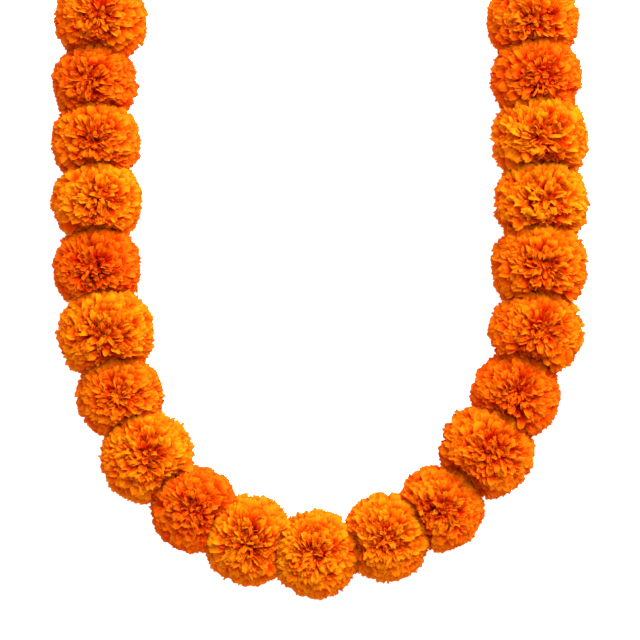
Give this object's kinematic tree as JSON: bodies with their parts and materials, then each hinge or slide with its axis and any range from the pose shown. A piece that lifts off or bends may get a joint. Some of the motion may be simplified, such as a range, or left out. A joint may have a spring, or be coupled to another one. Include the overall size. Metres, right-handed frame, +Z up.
{
  "type": "marigold garland",
  "caption": "Garland of full orange marigold heads threaded side by side on a cotton thread, laid face up in a U with its two ends knotted.",
  "frame": {"origin": "on the surface that the garland lies on, under the middle of its bounding box", "axes": "+Z up, the way the flowers face; +Y from the bend of the U towards its two ends; +X to the right"},
  "size_m": [0.3494, 0.4138, 0.0512],
  "materials": {
    "petals_golden": "matte, velvety, thin petals",
    "petals_orange": "matte, velvety, thin petals",
    "petals_deep": "matte, velvety, thin petals",
    "calyx_green": "satin, ribbed plant skin",
    "cotton": "twisted cotton thread"
  },
  "bodies": {
    "root": {"bloom_01": "petals_orange", "bloom_02": "petals_deep", "bloom_03": "petals_orange", "bloom_04": "petals_golden", "bloom_05": "petals_deep", "bloom_06": "petals_golden", "bloom_07": "petals_orange", "bloom_08": "petals_golden", "bloom_09": "petals_deep", "bloom_10": "petals_golden", "bloom_11": "petals_golden", "bloom_12": "petals_golden", "bloom_13": "petals_orange", "bloom_14": "petals_orange", "bloom_15": "petals_deep", "bloom_16": "petals_orange", "bloom_17": "petals_orange", "bloom_18": "petals_golden", "bloom_19": "petals_golden", "bloom_20": "petals_deep", "bloom_21": "petals_orange", "calyx_01": "calyx_green", "calyx_02": "calyx_green", "calyx_03": "calyx_green", "calyx_04": "calyx_green", "calyx_05": "calyx_green", "calyx_06": "calyx_green", "calyx_07": "calyx_green", "calyx_08": "calyx_green", "calyx_09": "calyx_green", "calyx_10": "calyx_green", "calyx_11": "calyx_green", "calyx_12": "calyx_green", "calyx_13": "calyx_green", "calyx_14": "calyx_green", "calyx_15": "calyx_green", "calyx_16": "calyx_green", "calyx_17": "calyx_green", "calyx_18": "calyx_green", "calyx_19": "calyx_green", "calyx_20": "calyx_green", "calyx_21": "calyx_green", "thread": "cotton", "knot_left": "cotton", "knot_right": "cotton"}
  },
  "joints": []
}
